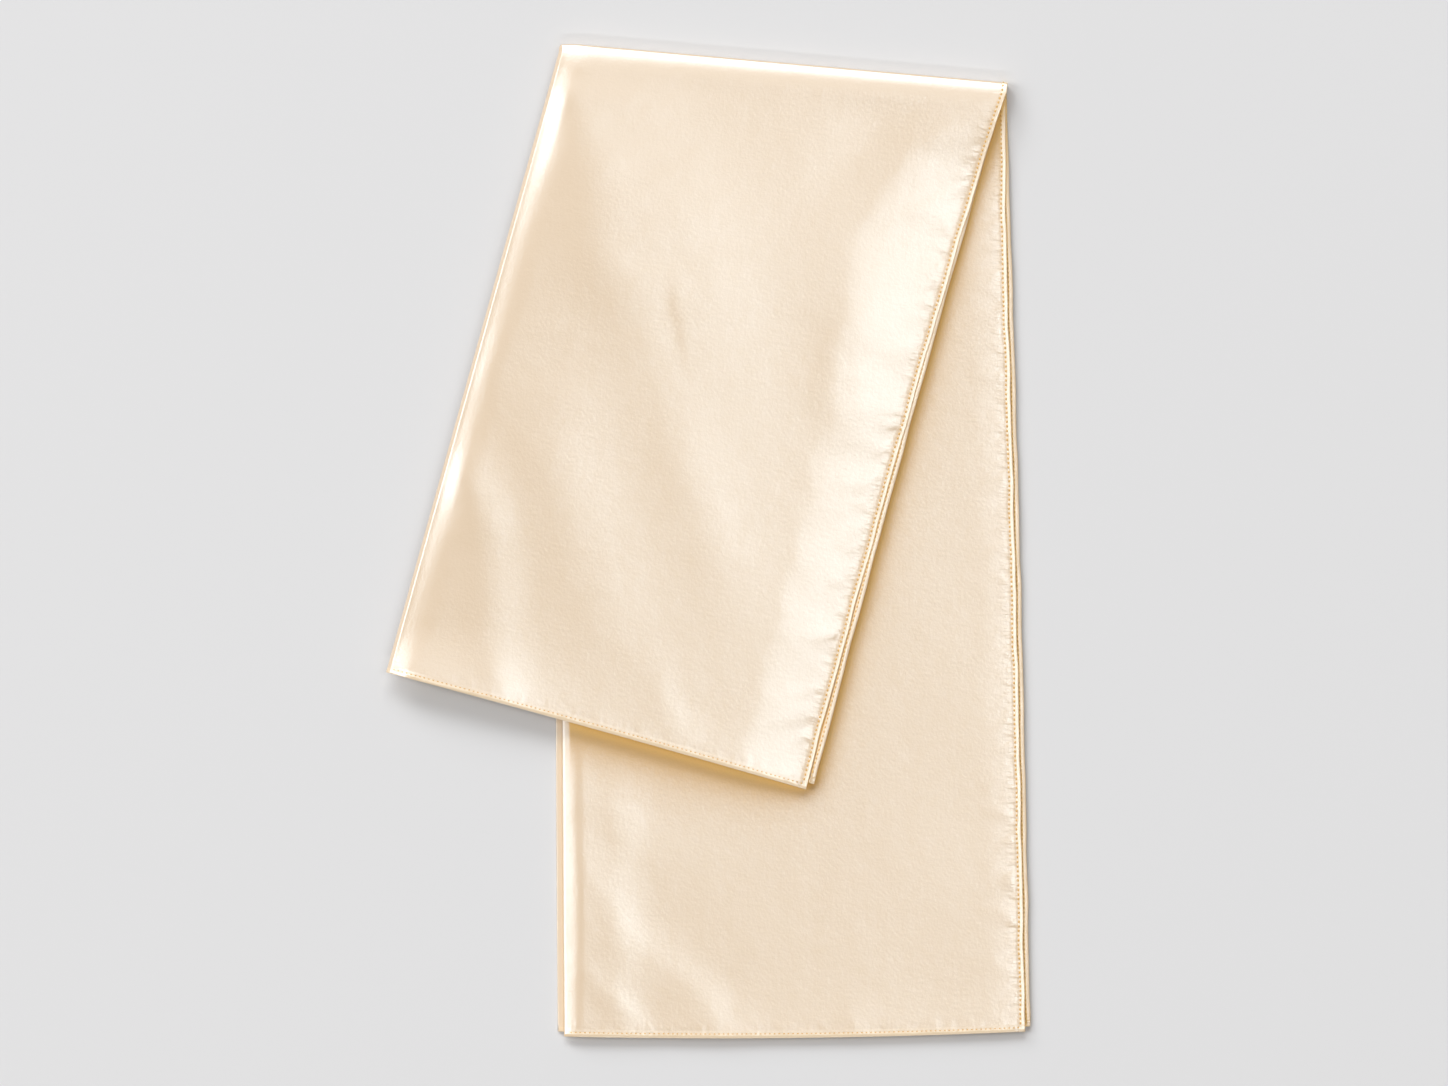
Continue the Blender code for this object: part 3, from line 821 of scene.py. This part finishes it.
def grid_mesh(name, points, keep, layers):
    """A mesh through an array of rows by columns of points, of the faces to keep, with UV
    layers of flat coordinates."""
    count_rows, count_columns = points.shape[:2]
    index = np.arange(count_rows * count_columns).reshape(count_rows, count_columns)
    quads = np.stack([index[:-1, :-1], index[:-1, 1:], index[1:, 1:], index[1:, :-1]], axis=-1)
    mesh = bpy.data.meshes.new(name)
    mesh.from_pydata((points.reshape(-1, 3) * MM).tolist(), [], quads[keep].tolist())
    corners = np.empty(len(mesh.loops), dtype=np.int32)
    mesh.loops.foreach_get("vertex_index", corners)
    for layer_name, values in layers.items():
        layer = mesh.uv_layers.new(name=layer_name)
        layer.uv.foreach_set("vector", (values.reshape(-1, 2)[corners] * MM).ravel())
    return mesh


def build_cloth(cloth):
    """One of the two cloths, as a thin sheet over the construction's form."""
    columns = make_columns(cloth)
    rows = make_rows(cloth)
    points, cut, hem = cloth_points(cloth, columns, rows)
    side_turned = (columns["part"][:-1] == 0) & (columns["part"][1:] == 0)
    end_turned = (rows["turned"][:-1] == 1) & (rows["turned"][1:] == 1)
    keep = ~(side_turned[None, :] & end_turned[:, None])
    mesh = grid_mesh(cloth + "_cloth", points, keep, dict(cut=cut, hem=hem))
    piece = bpy.data.objects.new(cloth + "_cloth", mesh)
    bpy.context.scene.collection.objects.link(piece)
    thick = piece.modifiers.new("satin thickness", "SOLIDIFY")
    thick.thickness = SATIN * MM
    thick.offset = 0.0
    mesh.shade_smooth()
    return piece


def thread_depths(stands, roll):
    """Depths in the cloth of a seam's threads, on its face and on the turned hem's side."""
    face_depth = -SATIN / 2 - STITCH_RADIUS * stands
    return face_depth, 2.0 * roll - face_depth


def seam_lines(cloth):
    """Lines of points along a cloth's seams, on its face and on the turned hem's side."""
    lines = []
    face = FACE_RISE[cloth]
    end_of = {run: RUN_LENGTH[run] - INSETS[cloth, run]["end"] - STITCH_INSET for run in RUN_LENGTH}

    def seam_row(run, place):
        angle = math.pi / 2 if run == "upper" else -math.pi / 2
        return (run, place / RUN_LENGTH[run], angle, 0.0, 0.0, 0)

    def run_rows(run):
        return [seam_row(run, place) for place in np.arange(SEAM_STEP, end_of[run], SEAM_STEP)]

    for depth in thread_depths(STITCH_STANDS, SIDE_ROLL):
        rows = run_rows("lower")[::-1] + fold_rows() + run_rows("upper")
        column = column_table([(-STITCH_INSET, 1.0, face, 1.0, 0, 0.0, depth)])
        lines.append(cloth_points(cloth, column, row_table(rows))[0][:, 0])
    for depth in thread_depths(END_STITCH_STANDS, END_ROLL):
        for run in ("lower", "upper"):
            columns = []
            for share in np.linspace(0.0, 1.0, END_SEAM_POINTS):
                fixed = END_SEAM_START * (1.0 - share) - STITCH_INSET * share
                columns.append((fixed, share, face, 1.0, 0, 0.0, depth))
            row = row_table([seam_row(run, end_of[run])])
            lines.append(cloth_points(cloth, column_table(columns), row)[0][0])
    return lines


def along_line(line, places):
    """Points at given distances along a line of points."""
    steps = np.linalg.norm(np.diff(line, axis=0), axis=1)
    travelled = np.concatenate([[0.0], np.cumsum(steps)])
    return np.stack([np.interp(places, travelled, line[:, axis]) for axis in range(3)], axis=-1)


def build_stitches(cloth):
    """The seams' stitches as one mesh of short round threads, their ends drawn in."""
    draw = random.Random(cloth + "stitches")
    verts = []
    faces = []
    for line in seam_lines(cloth):
        length = float(np.sum(np.linalg.norm(np.diff(line, axis=0), axis=1)))
        place = STITCH_PITCH / 2
        while place + STITCH_LENGTH < length:
            shares = np.array([share for share, _ in STITCH_SHAPE])
            spine = along_line(line, place + STITCH_LENGTH * shares)
            way = unit(spine[-1] - spine[0])
            side = unit(np.cross(way, (0.0, 0.0, 1.0)) + 1e-6)
            up = np.cross(side, way)
            slant = draw.uniform(-STITCH_SLANT, STITCH_SLANT)
            base = len(verts)
            for (share, girth), spot in zip(STITCH_SHAPE, spine):
                radius = STITCH_RADIUS * girth
                middle = spot + side * slant * (share - 0.5)
                for corner in range(STITCH_SIDES):
                    turn = 2.0 * math.pi * corner / STITCH_SIDES
                    verts.append(middle + radius * (side * math.cos(turn) + up * math.sin(turn)))
            rings = len(STITCH_SHAPE)
            for ring in range(rings - 1):
                for corner in range(STITCH_SIDES):
                    after = (corner + 1) % STITCH_SIDES
                    near = base + ring * STITCH_SIDES
                    far = near + STITCH_SIDES
                    faces.append((near + corner, near + after, far + after, far + corner))
            faces.append(tuple(base + corner for corner in reversed(range(STITCH_SIDES))))
            last = base + (rings - 1) * STITCH_SIDES
            faces.append(tuple(last + corner for corner in range(STITCH_SIDES)))
            place += STITCH_PITCH * draw.uniform(*PITCH_UNEVEN)
    spots = np.array(verts)
    spots[:, 2] = np.maximum(spots[:, 2], 0.0)
    mesh = bpy.data.meshes.new(cloth + "_stitches")
    mesh.from_pydata((spots * MM).tolist(), [], faces)
    mesh.shade_smooth()
    piece = bpy.data.objects.new(cloth + "_stitches", mesh)
    bpy.context.scene.collection.objects.link(piece)
    return piece


class NodeMaker:
    """Short ways to add and join the nodes of one material."""

    def __init__(self, tree):
        self.nodes = tree.nodes
        self.links = tree.links

    def math(self, operation, first, second):
        node = self.nodes.new("ShaderNodeMath")
        node.operation = operation
        for socket, value in zip(node.inputs, (first, second)):
            if isinstance(value, float):
                socket.default_value = value
            else:
                self.links.new(value, socket)
        return node.outputs["Value"]

    def ramp(self, value, ends, results=(0.0, 1.0), shape="LINEAR"):
        """A value's way from one end to the other, held at the results beyond them."""
        node = self.nodes.new("ShaderNodeMapRange")
        node.interpolation_type = shape
        for name, number in zip(("From Min", "From Max", "To Min", "To Max"), (*ends, *results)):
            node.inputs[name].default_value = number
        self.links.new(value, node.inputs["Value"])
        return node.outputs["Result"]

    def flat_place(self, layer):
        node = self.nodes.new("ShaderNodeUVMap")
        node.uv_map = layer
        return node.outputs["UV"]

    def part_of(self, vector, axis):
        node = self.nodes.new("ShaderNodeSeparateXYZ")
        self.links.new(vector, node.inputs["Vector"])
        return node.outputs[axis]

    def noise(self, size, layer, height):
        """An uneven height of no mean, over a layer of flat places."""
        scale = self.nodes.new("ShaderNodeVectorMath")
        scale.operation = "MULTIPLY"
        scale.inputs[1].default_value = (1.0 / (size[0] * MM), 1.0 / (size[1] * MM), 0.0)
        self.links.new(self.flat_place(layer), scale.inputs[0])
        pattern = self.nodes.new("ShaderNodeTexNoise")
        pattern.noise_dimensions = "2D"
        pattern.inputs["Scale"].default_value = 1.0
        self.links.new(scale.outputs["Vector"], pattern.inputs["Vector"])
        return self.math("MULTIPLY", self.math("SUBTRACT", pattern.outputs["Fac"], 0.5), height)

    def mixed(self, share, before, colour):
        """A mix from a colour, or from what a socket gives, to another colour."""
        node = self.nodes.new("ShaderNodeMix")
        node.data_type = "RGBA"
        if isinstance(before, tuple):
            node.inputs[6].default_value = before
        else:
            self.links.new(before, node.inputs[6])
        node.inputs[7].default_value = colour
        self.links.new(share, node.inputs[0])
        return node.outputs[2]


def fine_relief(maker):
    """The normal of the satin's slubs and fibres, and of the small puckers at the seams."""
    from_edge = maker.math("DIVIDE", maker.part_of(maker.flat_place("hem"), "X"), MM)
    grows = maker.ramp(from_edge, PINCH_GROWS, shape="SMOOTHSTEP")
    fades = maker.ramp(from_edge, PINCH_FADES[::-1], shape="SMOOTHSTEP")
    pinches = maker.noise(PINCH_SIZE, "hem", PINCH_HEIGHT)
    height = maker.math("MULTIPLY", pinches, maker.math("MULTIPLY", grows, fades))
    height = maker.math("ADD", height, maker.noise(FIBRE_SIZE, "cut", FIBRE_HEIGHT))
    for slub in SLUBS:
        uneven = maker.noise((slub["size"], slub["size"]), "cut", slub["height"])
        height = maker.math("ADD", height, uneven)
    bump = maker.nodes.new("ShaderNodeBump")
    bump.inputs["Distance"].default_value = MM
    maker.links.new(height, bump.inputs["Height"])
    return bump.outputs["Normal"]


def tone_shares(maker):
    """How much of each tone past the open one shows: over a hem, the painted shade where shut in, and the
    painted glow in a gap.
    """
    sky = maker.nodes.new("ShaderNodeAmbientOcclusion")
    sky.samples = SKY_SAMPLES
    sky.inputs["Distance"].default_value = SKY_REACH * MM
    surface = maker.nodes.new("ShaderNodeNewGeometry")
    faces_up = maker.ramp(maker.part_of(surface.outputs["Normal"], "Z"), FACES_UP)
    from_edge = maker.part_of(maker.flat_place("hem"), "X")
    over_hem = maker.ramp(from_edge, [end * MM for end in HEM_TONE_ENDS])
    from_left = maker.part_of(maker.flat_place("cut"), "X")
    off_left = maker.ramp(from_left, [end * MM for end in LEFT_FOLD_ENDS], (LEFT_FOLD_PAINTED_SHADE, 1.0))

    off_hem = maker.ramp(over_hem, (0.0, 1.0), (1.0, HEM_PAINTED_SHADE))
    # painted shade where some of the sky near by is hidden
    painted_shade = maker.math("MULTIPLY", maker.ramp(sky.outputs["AO"], PAINTED_SHADE_SKY), off_hem)
    painted_shade = maker.math("MULTIPLY", painted_shade, faces_up)
    painted_shade = maker.math("MULTIPLY", painted_shade, off_left)
    # painted golden glow where more of the sky near by is hidden
    gap = maker.ramp(sky.outputs["AO"], PAINTED_GLOW_SKY)
    gap = maker.math("MULTIPLY", gap, maker.math("MAXIMUM", over_hem, faces_up))
    gap = maker.math("MULTIPLY", gap, off_left)
    return dict(hem=over_hem, painted_shade=painted_shade, gap=gap)


def satin_material():
    """Champagne satin. Where the cloth is shut in, between layers and beside the folds, shade is
    painted into it: its gold is deeper there, a painted stand-in for its own reflections, and
    its sheen is taken out."""
    material = bpy.data.materials.new("champagne satin")
    material.use_nodes = True
    maker = NodeMaker(material.node_tree)
    shader = maker.nodes["Principled BSDF"]
    shares = tone_shares(maker)
    # the open tone, the hem's tone, then the painted shade and the painted glow, in the colour and the sheen
    for part, socket in (("colour", "Base Color"), ("sheen", "Specular Tint")):
        mixed = TONES["open"][part]
        for tone, share in shares.items():
            mixed = maker.mixed(share, mixed, TONES[tone][part])
        maker.links.new(mixed, shader.inputs[socket])
    # the sheen is spread out where shade is painted
    roughness = maker.ramp(shares["painted_shade"], (0.0, 1.0), (SATIN_ROUGHNESS, PAINTED_SHADE_ROUGHNESS))
    maker.links.new(roughness, shader.inputs["Roughness"])
    shader.inputs["IOR"].default_value = SATIN_IOR
    shader.inputs["Specular IOR Level"].default_value = 1.0
    maker.links.new(fine_relief(maker), shader.inputs["Normal"])
    return material


def flat_material(name, colour):
    """A dull material of one colour, for the floor and the thread."""
    material = bpy.data.materials.new(name)
    material.use_nodes = True
    shader = material.node_tree.nodes["Principled BSDF"]
    shader.inputs["Base Color"].default_value = colour
    shader.inputs["Roughness"].default_value = 0.9
    shader.inputs["Specular IOR Level"].default_value = 0.1
    return material


def make_floor():
    maker = bmesh.new()
    bmesh.ops.create_grid(maker, x_segments=1, y_segments=1, size=FLOOR_REACH)
    mesh = bpy.data.meshes.new("floor")
    maker.to_mesh(mesh)
    maker.free()
    floor = bpy.data.objects.new("floor", mesh)
    bpy.context.scene.collection.objects.link(floor)
    mesh.materials.append(flat_material("pale floor", FLOOR_COLOUR))


def make_softbox(name, direction, size, power):
    """A soft light in a direction from the scarf, turned to face it."""
    light = bpy.data.lights.new(name, "AREA")
    light.shape = "RECTANGLE"
    light.size, light.size_y = size
    light.energy = power
    holder = bpy.data.objects.new(name, light)
    way = Vector(direction).normalized()
    holder.location = way * SOFTBOX_DISTANCE
    holder.rotation_euler = way.to_track_quat("Z", "Y").to_euler()
    bpy.context.scene.collection.objects.link(holder)


def make_light():
    for name, direction, size, power in SOFTBOXES:
        make_softbox(name, direction, size, power)
    world = bpy.data.worlds.new("studio")
    bpy.context.scene.world = world
    world.use_nodes = True
    background = world.node_tree.nodes["Background"]
    background.inputs["Color"].default_value = ROOM_COLOUR
    background.inputs["Strength"].default_value = ROOM_STRENGTH
    bpy.context.scene.view_settings.view_transform = "Standard"


def make_camera():
    """A camera straight above, with a long lens that frames a width of the floor."""
    camera = bpy.data.cameras.new("camera")
    camera.sensor_width = SENSOR_WIDTH
    camera.lens = SENSOR_WIDTH * CAMERA_PLACE[2] / FRAME_WIDTH
    camera.clip_start = 0.05
    camera.clip_end = 2.0 * CAMERA_PLACE[2]
    holder = bpy.data.objects.new("camera", camera)
    holder.location = CAMERA_PLACE
    bpy.context.scene.collection.objects.link(holder)
    bpy.context.scene.camera = holder


# The construction's nodes that each cloth stands for.
REPLACED = {
    "outer": (
        "lower_bottom_panel", "lower_bottom_side_hem", "lower_bottom_end_hem", "lower_inner_layers",
        "top_fold_outer_layer", "top_fold_outer_side_hem", "top_fold_inner_layers",
        "upper_inner_layers", "upper_top_panel", "upper_top_side_hem", "upper_top_end_hem",
    ),
    "inner": (
        "lower_top_panel", "lower_top_side_hem", "lower_top_end_hem", "top_fold_core_layer",
        "upper_bottom_panel", "upper_bottom_side_hem", "upper_bottom_end_hem",
    ),
}

satin = satin_material()
thread = flat_material("champagne thread", THREAD_COLOUR)
for cloth in ("outer", "inner"):
    piece = build_cloth(cloth)
    piece.data.materials.append(satin)
    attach(piece, "root")
    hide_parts(*REPLACED[cloth])
    stitches = build_stitches(cloth)
    stitches.data.materials.append(thread)
    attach(stitches, "root")

make_floor()
make_light()
make_camera()
